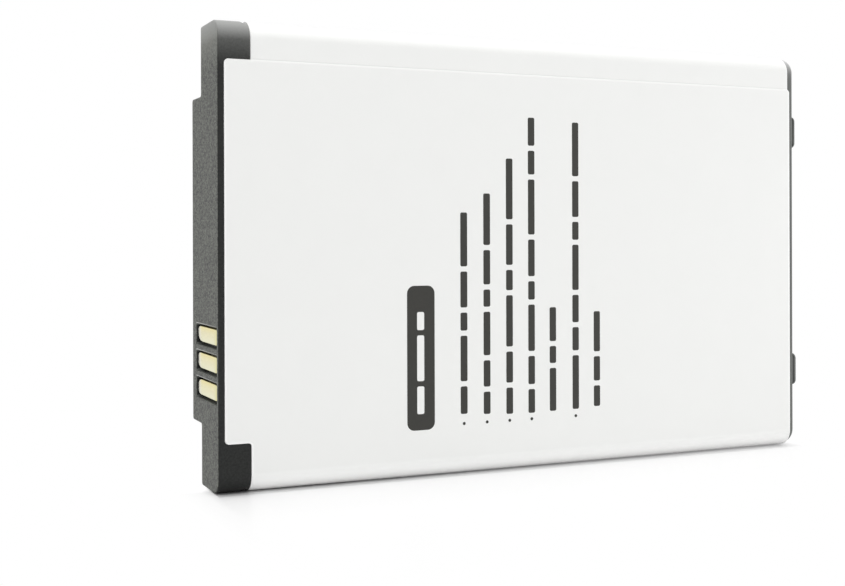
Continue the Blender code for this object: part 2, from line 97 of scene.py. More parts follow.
# Base cap, with the pocket for the foam pad under it
FOAM_MARGIN = 1.4 * MM
FOAM_THICKNESS = 0.13 * MM
BASE_INSET = 0.12 * MM
PIP_PLACES = (7.01 * MM, 29.04 * MM)
PIP_HEIGHTS = (0.37 * MM, 0.3 * MM)
PIP_CORNER = 0.5 * MM
PIP_RADIUS = 0.26 * MM

# Film: places along the pack, radii, the way round with its ramp, the edge, and the mesh
WRAP_START = 2.57 * MM
WRAP_END = 53.78 * MM
PANEL_START = 0.49 * MM
PANEL_TRIM = 0.04 * MM
NOTCH_RADIUS = 0.25 * MM
TAIL_RADIUS = 0.12 * MM
START_HEIGHT = 2.0 * MM
TABLE_STEP = 0.02 * MM
RAMP_LENGTH = 4.0 * MM
RAMP_MARGIN = 0.4
FILM_EDGE = 0.05 * MM
EDGE_WIDTH = 0.2 * MM
EDGE_STRETCH = 0.14 * MM
FILM_UNDER = 0.97
ROW_PITCH = 1.1 * MM
ROW_MARGIN = 0.2 * MM
COLUMN_PITCH = 1.7 * MM
COLUMN_MARGINS = (0.35 * MM, 0.3 * MM)

# Print: lines as (place, low end, high end), all in millimetres
LINES = (
    (20.47, 4.99, 21.41), (22.57, 4.86, 22.98), (24.67, 4.74, 25.90), (26.75, 4.70, 29.36),
    (28.79, 4.75, 13.47), (31.01, 4.78, 29.09), (33.11, 4.91, 13.02))
DOT_LINES = (0, 1, 2, 3, 5)
DOT_HEIGHT = 4.2 * MM
DOT_RADIUS = 0.13 * MM
BLOCK_LENGTHS = (2.6, 4.3, 1.7, 3.4, 5.1, 2.2)
BLOCK_GAP = 0.42 * MM
BLOCK_RADIUS = 0.14 * MM
LINE_HEIGHT = 0.62 * MM
BAR_LOW = np.array([15.42, 3.9]) * MM
BAR_HIGH = np.array([17.84, 15.51]) * MM
BAR_RADIUS = 0.62 * MM
PALE_LINE = (16.6, 5.2, 13.4)
INK = 0.006 * MM

# Parts on the board
CHIP_BODY = 0.5 * MM
TIN = (0.72, 0.71, 0.68)

# Stage: the camera's place is in pack coordinates. The floor turns whiter for the eye over each
# range of millimetres by a share, given as (start, end, share).
CAMERA_PLACE = np.array([-24.61, -92.68, 19.565]) * MM
CAMERA_YAW = math.radians(24.067)
CAMERA_ROLL = math.radians(0.163)
IMAGE_WIDTH = 845
IMAGE_HEIGHT = 586
HORIZON_ROW = 235.2
SENSOR_WIDTH = 36
SIDE_LAMP_AIM = (0, 0, 0.018)
FLOOR_SIDE = 6.0
FLOOR_STRETCH = (12.0, 1.0, 1.0)
FLOOR_WHITER = ((0.15, 1.5, 0.38), (1.5, 9, 0.42), (9, 30, 0.2))

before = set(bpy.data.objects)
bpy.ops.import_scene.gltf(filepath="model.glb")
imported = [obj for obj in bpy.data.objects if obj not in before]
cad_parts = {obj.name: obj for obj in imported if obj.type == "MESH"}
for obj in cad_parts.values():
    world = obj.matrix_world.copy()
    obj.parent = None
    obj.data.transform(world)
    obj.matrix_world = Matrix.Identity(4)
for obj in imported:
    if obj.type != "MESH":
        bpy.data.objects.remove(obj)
cad_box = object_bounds()


def node_box(name):
    """Lowest and highest corner of a node, as arrays."""
    low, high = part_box(name)
    return np.array(low), np.array(high)


CAP_LOW, CAP_HIGH = node_box("contact_cap")
BASE_LOW, BASE_HIGH = node_box("base_cap")
PACK_CORNER = CAP_LOW
THICKNESS, WIDTH = (CAP_HIGH - CAP_LOW)[1:]
SKIRT_END = CAP_HIGH[0] - PACK_CORNER[0]
PANEL_END = node_box("wrap_label")[1][0] - PACK_CORNER[0] - PANEL_TRIM
PADS = sorted(("contact_pad_negative", "contact_pad_signal", "contact_pad_positive"),
              key=lambda pad: node_box(pad)[0][2])


def distance(name, description, default):
    """A length that can be set."""
    return FloatProperty(name=name, description=description, default=default,
                         subtype="DISTANCE", unit="LENGTH")


def paint(name, description, default):
    """A colour that can be set."""
    return FloatVectorProperty(name=name, description=description, default=default,
                               size=3, subtype="COLOR", min=0, max=1)


class PackSizes(bpy.types.PropertyGroup):
    """Sizes of the outer pieces. What the frame already says is read from the frame."""

    corner_radius: distance("Corner radius", "Rounding of the pack's four long edges", 1.5 * MM)
    contact_edge: distance("Contact end edge", "Rounding round the contact face", 0.12 * MM)
    base_edge: distance("Base end edge", "Rounding round the base", 1.05 * MM)
    wall: distance("Wall", "Wall of the moulded caps", 0.6 * MM)
    rim_length: distance("Rim length", "Length of the contact cap's bare rim", 2.55 * MM)
    key_front: distance(
        "Key front", "Distance of the stepped corners from the printed face", 5.1 * MM)
    key_top: distance("Upper key", "Height of the upper stepped corner", 5.45 * MM)
    key_bottom: distance("Lower key", "Height of the lower stepped corner", 4.8 * MM)
    key_depth: distance("Key depth", "Depth of the stepped corners along the pack", 2.0 * MM)
    key_radius: distance("Key rounding", "Rounding in the stepped corners", 0.25 * MM)
    window_near: distance("Window start", "Front end of the contact windows", 0.5 * MM)
    window_far: distance("Window end", "Back end of the contact windows", 6.65 * MM)
    window_height: distance("Window height", "Height of one contact window", 1.65 * MM)
    window_lip: distance("Window lip", "Rounding round the mouth of a window", 0.09 * MM)
    film: distance("Film", "Thickness of the film", 0.08 * MM)
    play: distance("Play", "Clearance between pieces that seat in each other", 0.02 * MM)
    panel_bottom: distance(
        "Panel bottom", "Height at which the printed panel reaches over the cap", 3.83 * MM)
    panel_top: distance("Panel top", "Height of the printed panel's free edge", 32.92 * MM)
    panel_radius: distance("Panel corners", "Rounding of the printed panel's corners", 0.35 * MM)
    pip_length: distance("Pip length", "Length of each pip on the base", 2.95 * MM)
    pip_edge: distance("Pip edge", "Distance of the pips' ends from the broad faces", 0.6 * MM)
    arc_steps: IntProperty(
        name="Arc steps", description="Steps in each rounded corner", default=14, min=2, max=48)


class PackColours(bpy.types.PropertyGroup):
    """Colours of the outer finishes."""

    moulded: paint(
        "Moulded caps", "Colour of the moulded black plastic", (0.018, 0.019, 0.018))
    film: paint("Film", "Colour of the white film", (0.868, 0.872, 0.858))
    ink: paint("Ink", "Colour of the printed marks", (0.018, 0.0174, 0.0135))
    gold: paint("Contacts", "Colour of the contacts' pale gold plating", (0.82, 0.76, 0.47))


class StageSettings(bpy.types.PropertyGroup):
    """Light, floor and camera."""

    sky_light: FloatProperty(
        name="Sky light", description="Strength of the even white light from all round",
        default=0.58, min=0)
    lamp_power: FloatProperty(
        name="Lamp power", description="Power of the lamp overhead",
        default=1.85, min=0, unit="POWER")
    lamp_side: distance("Lamp side", "Side of the square lamp overhead", 0.6)
    lamp_place: FloatVectorProperty(
        name="Lamp place", description="Middle of the lamp, over the floor",
        default=(0.03, -0.17, 0.45), size=3, subtype="TRANSLATION", unit="LENGTH")
    side_power: FloatProperty(
        name="Side lamp power", description="Power of the weak lamp at the right",
        default=0.17, min=0, unit="POWER")
    side_side: distance("Side lamp side", "Side of the square lamp at the right", 0.03)
    side_place: FloatVectorProperty(
        name="Side lamp place", description="Middle of the lamp at the right",
        default=(0.32, -0.2, 0.02), size=3, subtype="TRANSLATION", unit="LENGTH")
    focal_length: FloatProperty(
        name="Focal length", description="Lens on a 36 mm sensor, in millimetres",
        default=53.83, min=1)


def settings():
    """The three groups of settings, kept on the scene."""
    scene = bpy.context.scene
    return scene.pack_sizes, scene.pack_colours, scene.pack_stage


def rounded_path(corners, radii, inset, steps):
    """Closed outline with round corners, moved inwards by an even inset.

    Each side of the polygon moves along its inward normal by the inset, and neighbouring sides
    meet again at the old corner plus inset times (n0 + n1) / (1 + n0 . n1). An arc then rounds
    the corner: its centre lies on the same diagonal, and its point at a share t of the turn is
    the centre minus the radius times n0 turned by t times the turn. An outward corner's radius
    shrinks by the inset and an inward corner's grows by it.
    """
    corners = np.asarray(corners, float)
    side = np.roll(corners, -1, axis=0) - corners
    side /= np.linalg.norm(side, axis=1, keepdims=True)
    after = np.stack([-side[:, 1], side[:, 0]], axis=1)
    before = np.roll(after, 1, axis=0)
    cosine = (before * after).sum(axis=1)
    sine = before[:, 0] * after[:, 1] - before[:, 1] * after[:, 0]
    bend = np.sign(np.round(sine, 9))
    diagonal = (before + after) / (1 + cosine)[:, None]
    radius = np.maximum(np.asarray(radii, float) - bend * inset, SMALLEST_RADIUS)
    arm = (bend * radius)[:, None]
    centre = corners + diagonal * (inset + arm)
    turn = np.arctan2(sine, cosine)[:, None] * np.linspace(0, 1, steps + 1)[None, :]
    reach_y = before[:, :1] * np.cos(turn) - before[:, 1:] * np.sin(turn)
    reach_z = before[:, :1] * np.sin(turn) + before[:, 1:] * np.cos(turn)
    points = np.stack([centre[:, :1] - arm * reach_y, centre[:, 1:] - arm * reach_z], axis=2)
    return points.reshape(-1, 2)


def edge_rows(path, start, rise, inset, count):
    """Rows of a quarter-round edge, each a depth and an outline.

    At an angle a, from 0 to a right angle, the depth is the start plus the rise times sin a, and
    the outline is the path moved inwards by the inset times (1 - cos a).
    """
    angle = np.linspace(0, math.pi / 2, count + 1)
    return [(start + rise * sine, path(inset * (1 - cosine)))
            for sine, cosine in zip(np.sin(angle), np.cos(angle))]


def rectangle(low, high):
    """Four corners of a rectangle, anticlockwise."""
    return [(low[0], low[1]), (high[0], low[1]), (high[0], high[1]), (low[0], high[1])]


def grid_quads(rows, columns):
    """Corner numbers of the quads of a grid that is closed round its columns."""
    first = np.arange(rows - 1)[:, None] * columns
    column = np.arange(columns)[None, :]
    following = (column + 1) % columns
    second = first + columns
    return np.stack([first + column, first + following, second + following, second + column],
                    axis=2).reshape(-1, 4)


def fill_flat(outer, holes=(), inside=None):
    """Triangles of a flat region with holes, from its outlines and any points inside it."""
    loops = [outer, *holes]
    starts = np.cumsum([0] + [len(loop) for loop in loops])
    faces = [np.arange(start, end).tolist() for start, end in zip(starts[:-1], starts[1:])]
    points = np.concatenate(loops if inside is None else [*loops, inside])
    centre = points.mean(axis=0)
    found, _, triangles, _, _, origins = delaunay_2d_cdt(
        ((points - centre) / MM).tolist(), [], faces, 0, 1e-6, True)
    kept = [face for face, origin in zip(triangles, origins) if list(origin) == [0]]
    return np.array([tuple(point) for point in found]) * MM + centre, np.array(kept)


class Shell:
    """Points and faces of one piece, gathered as arrays and made a mesh once.

    Its outlines are flat, and each is held at a depth along one axis: x, or y where asked.
    """

    def __init__(self, axis=0):
        self.axis = axis
        self.points = []
        self.faces = []
        self.edge = []
        self.count = 0

    def add(self, points, faces, edge=0.0):
        """Adds points and faces; edge tells, from 0 to 1, how near each point is to a cut edge."""
        points = points.reshape(-1, 3)
        self.points.append(points)
        self.edge.append(np.broadcast_to(np.asarray(edge, float), len(points)))
        self.faces.extend((faces + self.count).tolist())
        self.count += len(points)

    def add_rows(self, rows):
        """Joins outlines of as many points each into a surface; a row is (depth, outline)."""
        grid = np.stack([np.insert(outline, self.axis, depth, axis=1) for depth, outline in rows])
        self.add(grid, grid_quads(*grid.shape[:2]))

    def add_flat(self, depth, outer, holes=()):
        """Fills an outline with holes at one depth."""
        points, triangles = fill_flat(outer, holes)
        self.add(np.insert(points, self.axis, depth, axis=1), triangles)

    def make(self, name, merge=0.0005 * MM):
        """The mesh object: doubles merged, normals outwards, points in the model's own frame."""
        mesh = bpy.data.meshes.new(name)
        mesh.from_pydata(np.concatenate(self.points) + PACK_CORNER, [], self.faces)
        edge = np.concatenate(self.edge)
        if edge.any():
            mesh.attributes.new("edge", "FLOAT", "POINT").data.foreach_set("value", edge)
        builder = bmesh.new()
        builder.from_mesh(mesh)
        bmesh.ops.remove_doubles(builder, verts=builder.verts, dist=merge)
        bmesh.ops.dissolve_degenerate(builder, edges=builder.edges, dist=merge)
        bmesh.ops.recalc_face_normals(builder, faces=builder.faces)
        builder.to_mesh(mesh)
        builder.free()
        piece = bpy.data.objects.new(name, mesh)
        bpy.context.scene.collection.objects.link(piece)
        return piece


def prism_y(name, outline, near, far):
    """A closed prism: an (x, z) outline held at two depths y, with both ends filled."""
    shell = Shell(axis=1)
    shell.add_rows([(near, outline), (far, outline)])
    for depth in (near, far):
        shell.add_flat(depth, outline)
    return shell.make(name)


def apply_boolean(piece, tool, operation):
    """Cuts the tool from the piece, or joins it, and removes the tool."""
    modifier = piece.modifiers.new("combine", "BOOLEAN")
    modifier.object = tool
    modifier.operation = operation
    modifier.solver = "EXACT"
    graph = bpy.context.evaluated_depsgraph_get()
    mesh = bpy.data.meshes.new_from_object(piece.evaluated_get(graph))
    piece.modifiers.clear()
    old = piece.data
    piece.data = mesh
    bpy.data.meshes.remove(old)
    bpy.data.objects.remove(tool, do_unlink=True)


def finish_piece(piece, material, nodes, crease=32):
    """Smooths a piece between its creases, gives it its finish and puts it in its nodes' place."""
    mesh = piece.data
    mesh.name = piece.name
    mesh.materials.clear()
    mesh.materials.append(material)
    mesh.shade_smooth()
    mesh.set_sharp_from_angle(angle=math.radians(crease))
    modifier = piece.modifiers.new("even shading", "WEIGHTED_NORMAL")
    modifier.keep_sharp = True
    modifier.weight = 80
    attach(piece, BODY)
    if nodes:
        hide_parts(*nodes)


class Nodes:
    """A node tree, with nodes added and joined by short calls.

    In every call a value is a number, a colour, another node's output, or "X", "Y" or "Z" for the
    place along that axis.
    """

    def __init__(self, tree):
        self.tree = tree

    @cached_property
    def place(self):
        """Each point's own coordinates."""
        return self.node("ShaderNodeTexCoord").outputs["Object"]

    def node(self, kind, inputs=None, **options):
        """Adds a node with its options, and feeds the inputs that are named or numbered."""
        node = self.tree.nodes.new(kind)
        for key, value in options.items():
            setattr(node, key, value)
        for key, value in (inputs or {}).items():
            self.feed(node.inputs[key], value)
        return node

    def feed(self, socket, value):
        """Gives a socket its value."""
        if isinstance(value, str):
            value = self.node("ShaderNodeSeparateXYZ", {"Vector": self.place}).outputs[value]
        if isinstance(value, bpy.types.NodeSocket):
            self.tree.links.new(value, socket)
        else:
            socket.default_value = (*value, 1) if socket.type == "RGBA" else value

    def math(self, operation, *values):
        """One operation on numbers."""
        inputs = dict(enumerate(values))
        return self.node("ShaderNodeMath", inputs, operation=operation).outputs["Value"]

    def vector(self, operation, *values):
        """One operation on vectors."""
        inputs = dict(enumerate(values))
        node = self.node("ShaderNodeVectorMath", inputs, operation=operation)
        return node.outputs["Value" if operation == "LENGTH" else "Vector"]

    def product(self, first, *others):
        """Values multiplied together."""
        for other in others:
            first = self.math("MULTIPLY", first, other)
        return first

    def spread(self, value, low, high, to_low=0.0, to_high=1.0):
        """Maps a range of a value to another, held at its ends."""
        inputs = {"Value": value, "From Min": low, "From Max": high,
                  "To Min": to_low, "To Max": to_high}
        return self.node("ShaderNodeMapRange", inputs).outputs["Result"]

    def band(self, value, low, high):
        """Share that is 1 where a value lies between two bounds, and 0 elsewhere."""
        return self.product(self.math("GREATER_THAN", value, low),
                            self.math("LESS_THAN", value, high))

    def noise(self, grain, detail, roughness, stretch=None):
        """Noise whose features are about one grain long, stretched along an axis where asked."""
        place = self.place
        if stretch:
            inputs = {"Vector": place, "Scale": stretch}
            place = self.node("ShaderNodeMapping", inputs).outputs["Vector"]
        inputs = {"Vector": place, "Scale": 1 / grain, "Detail": detail, "Roughness": roughness}
        return self.node("ShaderNodeTexNoise", inputs).outputs["Fac"]

    def blend(self, share, first, second):
        """A colour between two, by a share."""
        node = self.node("ShaderNodeMix", {"Factor": share}, data_type="RGBA")
        ends = [socket for socket in node.inputs if socket.type == "RGBA"]
        for socket, value in zip(ends, (first, second)):
            self.feed(socket, value)
        return [socket for socket in node.outputs if socket.type == "RGBA"][0]

    def layers(self, base, *layers):
        """A colour with others laid over it in turn, each by its share."""
        for share, colour in layers:
            base = self.blend(share, base, colour)
        return base


class Finish(Nodes):
    """A node material with one shader."""

    def __init__(self, name):
        self.material = bpy.data.materials.new(name + "_finish")
        self.material.use_nodes = True
        super().__init__(self.material.node_tree)
        self.shader = self.tree.nodes["Principled BSDF"]

    def set(self, **values):
        """Feeds the shader's inputs, with _ for each space in a name."""
        for key, value in values.items():
            self.feed(self.shader.inputs[key.replace("_", " ")], value)

    def bump(self, height, depth):
        """Small relief: the height runs from 0 to 1 over the given depth."""
        node = self.node("ShaderNodeBump", {"Height": height, "Distance": depth, "Strength": 1.0})
        self.set(Normal=node.outputs["Normal"])


def shade_of(colour, share):
    """A colour made lighter or darker by a share."""
    return tuple(min(1.0, max(0.0, channel * share)) for channel in colour)


def window_middles():
    """Heights of the middles of the contact windows, lowest first, in the model's frame."""
    return [(node_box(pad)[0][2] + node_box(pad)[1][2]) / 2 - PAD_RISE for pad in PADS]


def painted_lip_highlights(finish):
    """Share for painted highlights: highest on the upper lip of each contact window, more so
    towards the back.
    """
    sizes = settings()[0]
    first, second, third = window_middles()
    start = first + sizes.window_height / 2 - 0.2 * sizes.window_lip
    along = finish.math("FLOORED_MODULO", finish.math("SUBTRACT", "Z", start), second - first)
    near, far = CAP_LOW[1] + sizes.window_near, CAP_LOW[1] + sizes.window_far
    return finish.product(
        finish.math("LESS_THAN", along, 1.3 * sizes.window_lip),
        finish.band("Z", start, start + third - first + MM),
        finish.math("LESS_THAN", "X", CAP_LOW[0] + sizes.window_lip),
        finish.band("Y", near, far),
        finish.spread("Y", near, far, 0.3, 1.0))


def window_recess(finish):
    """Share that is 1 on the walls inside the contact windows and 0 elsewhere."""
    sizes = settings()[0]
    middles = window_middles()
    half = sizes.window_height / 2 + 0.05 * MM
    return finish.product(
        finish.band("X", CAP_LOW[0] + 0.03 * MM, CAP_LOW[0] + 1.0 * MM),
        finish.band("Y", CAP_LOW[1] + sizes.window_near, CAP_LOW[1] + sizes.window_far),
        finish.band("Z", middles[0] - half, middles[-1] + half))


def scattered_dust(finish):
    """Share that is above 0 on a few fallen specks, at points about 1.1 mm apart."""
    inputs = {"Vector": finish.place, "Scale": 1 / (1.1 * MM), "Randomness": 1.0}
    cells = finish.node("ShaderNodeTexVoronoi", inputs).outputs
    near_point = finish.spread(cells["Distance"], 0.022, 0.034, 1.0, 0.0)
    return finish.product(near_point, finish.math("GREATER_THAN", cells["Color"], 0.62), 0.45)


def moulded_finish(colour):
    """Black plastic: spark-eroded grain on the contact face, nearly smooth on the other sides.

    The contact face's grain is painted paler than the sides, as painted light for the light it
    catches.
    Painted sheen makes it paler towards the upper side, with a painted highlight along the top, and
    at the base's rim, pips and upper side. Painted highlights lie on the upper lips of the contact
    windows, and painted light takes the place of the shade on the walls inside them. A few fallen
    specks lie on it.
    """
    finish = Finish("moulded_black")
    near, front = CAP_LOW[0] + 0.005 * MM, CAP_LOW[1] + 0.02 * MM
    end_face = finish.product(finish.spread("X", near, near + 0.045 * MM, 1.0, 0.0),
                              finish.spread("Y", front, front + 0.14 * MM))
    base_end = finish.spread("X", BASE_LOW[0], BASE_LOW[0] + 0.1 * MM)
    flat_end = BASE_HIGH[0] - PIP_HEIGHTS[0]
    rim = finish.spread("X", flat_end - 0.12 * MM, flat_end - 0.03 * MM, 1.0, 0.0)
    pips = finish.spread("X", flat_end + 0.005 * MM, flat_end + 0.03 * MM)

    coarse = finish.noise(0.17 * MM, 2.0, 0.6, (1.0, 0.6, 1.0))
    fine = finish.noise(0.1 * MM, 1.0, 0.6, (1.0, 0.75, 1.0))
    grain = finish.math("ADD", finish.product(coarse, 0.55), finish.product(fine, 0.45))
    # Painted light: the contact face's grain is far paler than the sides, for the light it catches;
    # the grain itself is real
    grain_and_painted_light = finish.blend(
        finish.spread(grain, 0.4, 0.62), shade_of(colour, 0.3), (0.157, 0.166, 0.139))
    plain = finish.blend(
        finish.spread(coarse, 0.35, 0.65), shade_of(colour, 0.72), shade_of(colour, 1.25))

    top = CAP_HIGH[2]
    # Painted sheen: paler in patches towards the upper side, most on the contact face
    painted_top_sheen = finish.product(
        finish.math("POWER", finish.spread("Z", top - 3.7 * MM, top - 1.2 * MM), 1.35),
        finish.spread(coarse, 0.3, 0.7, 0.75, 1.0))
    # Painted sheen: paler towards the upper side of the base end
    painted_base_sheen = finish.product(
        finish.math("POWER", finish.spread("Z", top - 2.5 * MM, top - 0.1 * MM), 2.4), base_end)
    finish.set(
        Base_Color=finish.layers(
            plain,
            # Painted sheen on the base's rim and pips
            (finish.product(base_end, finish.math("ADD", rim, pips)), shade_of(colour, 5.8)),
            # Painted light on the walls inside the contact windows, in place of their shade
            (window_recess(finish), shade_of(colour, 7.0)),
            (end_face, grain_and_painted_light),
            (painted_top_sheen, finish.blend(end_face, (0.128, 0.13, 0.125), (0.196, 0.2, 0.178))),
            # Painted highlight along the upper side
            (finish.spread("Z", top - 1.6 * MM, top - 0.1 * MM), (0.365, 0.37, 0.36)),
            (painted_base_sheen, (0.6, 0.605, 0.61)),
            # Painted highlights on the upper lips of the contact windows
            (painted_lip_highlights(finish), (0.5, 0.5, 0.49)),
            (scattered_dust(finish), (0.5, 0.5, 0.5))),
        Roughness=finish.spread(end_face, 0, 1, 0.36, 0.52),
        Specular_IOR_Level=finish.spread(end_face, 0, 1, 0.2, 0.4))
    finish.bump(finish.product(grain, finish.spread(end_face, 0, 1, 0.06, 1.0)), 0.03 * MM)
    return finish.material


def film_finish(colour):
    """White film: satin, with a faint orange peel.

    Painted light makes it whiter round the lower edge, in place of the shade there, and along its
    cut edges as a painted highlight; a fine painted shadow lies in the step above the panel's free
    edge.
    """
    finish = Finish("printed_film")
    edge = settings()[0].panel_top
    front = CAP_LOW[1] + 0.4 * MM
    # Painted shadow: a fine dark line in the step just above the panel's free edge, near the front
    painted_step_shadow = finish.product(
        finish.spread("Z", edge, edge + 0.02 * MM),
        finish.spread("Z", edge + 0.06 * MM, edge + 0.11 * MM, 1.0, 0.0),
        0.14, finish.spread("Y", front, front + 0.1 * MM, 1.0, 0.0))
    # Painted highlight along the cut edges, weaker along the panel's free edge
    cut = finish.product(
        finish.node("ShaderNodeAttribute", attribute_name="edge").outputs["Fac"],
        finish.spread("Z", edge - 0.3 * MM, edge - 0.25 * MM, 1.0, 0.4))
    # Painted light: whiter round the lower edge, in place of the shade there
    low = finish.spread("Z", 0.8 * MM, 1.6 * MM, 1.0, 0.0)
    mottle = finish.noise(3.5 * MM, 3.0, 0.5)
    peel = finish.noise(0.35 * MM, 2.0, 0.5)
    finish.set(
        Base_Color=finish.layers(
            finish.blend(mottle, shade_of(colour, 0.988), shade_of(colour, 1.008)),
            (painted_step_shadow, (0.3, 0.3, 0.31)), (finish.math("MAXIMUM", cut, low), (1.0, 1.0, 0.99))),
        Roughness=finish.spread(peel, 0.3, 0.7, 0.34, 0.42), Specular_IOR_Level=0.5)
    finish.bump(peel, 0.0012 * MM)
    return finish.material


def gold_finish(colour):
    """Pale gold plating: satin, with fine marks along the way that the contacts slide.

    Its tone is painted light: palest at the back and along each contact's lower edge as painted
    highlights, and deepest along the upper edge and at the front as painted shade. The height above
    a contact's lower edge is the remainder of z over the pitch.
    """
    finish = Finish("gold_plate")
    low, high = node_box(PADS[0])
    height = high[2] - low[2]
    first, second = window_middles()[:2]
    start = first + PAD_RISE - height / 2 - 0.1 * MM
    along = finish.math("FLOORED_MODULO", finish.math("SUBTRACT", "Z", start), second - first)
    wear = finish.noise(0.2 * MM, 3.0, 0.6, (1.0, 0.3, 1.0))
    slid = finish.blend(
        finish.spread(wear, 0.35, 0.65), shade_of(colour, 0.93), shade_of(colour, 1.03))
    finish.set(
        Base_Color=finish.layers(
            slid,
            # Painted highlight along each contact's lower edge
            (finish.spread(along, 0.1 * MM, 0.8 * MM, 1.0, 0.0), (0.81, 0.8, 0.57)),
            # Painted shade along each contact's upper edge
            (finish.spread(along, height - 0.35 * MM, height + 0.05 * MM), (0.81, 0.71, 0.31)),
            # Painted shade at the front
            (finish.spread("Y", low[1] + 0.2 * MM, low[1] + 0.9 * MM, 1.0, 0.0),
             (0.745, 0.7, 0.36)),
            # Painted highlight at the back
            (finish.spread("Y", high[1] - 1.1 * MM, high[1] - 0.2 * MM), (1.0, 0.98, 0.87))),
        Roughness=finish.spread(wear, 0.3, 0.7, 0.28, 0.32), Metallic=1.0)
    finish.bump(wear, 0.0004 * MM)
    return finish.material


def metal_finish(name, colour, roughness, stretch):
    """Rolled or drawn metal: fine lines along one axis and small changes of tone."""
    finish = Finish(name)
    lines = finish.noise(0.08 * MM, 3.0, 0.6, stretch)
    cloud = finish.noise(1.8 * MM, 2.0, 0.5)
    tone = finish.math("ADD", finish.product(lines, 0.6), finish.product(cloud, 0.4))
    finish.set(Base_Color=finish.blend(tone, shade_of(colour, 0.86), shade_of(colour, 1.1)),
               Roughness=finish.spread(lines, 0.3, 0.7, roughness - 0.06, roughness + 0.08),
               Metallic=1.0)
    finish.bump(lines, 0.003 * MM)
    return finish.material


def plain_finish(name, colour, roughness, grain, depth, shades=(0.88, 1.1)):
    """Moulding, sheet, foam or ink: one colour with grain of its own size, depth and shades."""
    finish = Finish(name)
    grains = finish.noise(grain, 3.0, 0.6)
    finish.set(Base_Color=finish.blend(grains, *(shade_of(colour, share) for share in shades)),
               Roughness=finish.spread(grains, 0.3, 0.7, roughness - 0.05, roughness + 0.05))
    finish.bump(grains, depth)
    return finish.material


def board_finish(colour):
    """Solder resist over a glass weave, paler where copper runs under it; the outside is black."""
    finish = Finish("board_green")
    inputs = {"Scale": 0.05 / (0.25 * MM), "Vector": finish.place}
    threads = finish.product(*(
        finish.node("ShaderNodeTexWave", inputs, bands_direction=axis).outputs["Fac"]
        for axis in "YZ"))
    copper = finish.spread(finish.noise(1.6 * MM, 0.0, 0.5), 0.49, 0.53)
    front = node_box("protection_board")[0][0] + 0.05 * MM
    finish.set(
        Base_Color=finish.layers(
            colour, (copper, shade_of(colour, 1.7)),
            (finish.spread(threads, 0, 1, 0, 0.25), shade_of(colour, 2.4)),
            (finish.spread("X", front, front + 0.02 * MM, 1.0, 0.0), (0.012, 0.012, 0.012))),
        Roughness=0.38)
    finish.bump(finish.math("ADD", threads, copper), 0.006 * MM)
    return finish.material


def two_tone_finish(name, axis, reach, colour):
    """A small part with tinned ends, which start further than reach from its middle on an axis."""
    low, high = (corner["XYZ".index(axis)] for corner in node_box(name))
    finish = Finish(name)
    away = finish.math("ABSOLUTE", finish.math("SUBTRACT", axis, (low + high) / 2))
    ends = finish.spread(away, reach - 0.01 * MM, reach + 0.01 * MM)
    grains = finish.noise(0.09 * MM, 3.0, 0.6)
    plain = finish.blend(grains, shade_of(colour, 0.85), shade_of(colour, 1.15))
    bright = finish.blend(grains, shade_of(TIN, 0.85), TIN)
    finish.set(Base_Color=finish.blend(ends, plain, bright), Metallic=ends,
               Roughness=finish.spread(grains, 0.3, 0.7, 0.34, 0.5))
    finish.bump(grains, 0.004 * MM)
    return finish.material


def body_path(inset, steps):
    """The pack's cross-section with its round corners, moved inwards."""
    return rounded_path(
        rectangle((0, 0), (THICKNESS, WIDTH)), settings()[0].corner_radius, inset, steps)


def keyed_corners(front, low, high, inset):
    """The contact face's corners: a rectangle with a step cut from each back corner."""
    back = THICKNESS - inset
    top = WIDTH - inset
    return [(inset, inset), (front, inset), (front, low), (back, low),
            (back, high), (front, high), (front, top), (inset, top)]


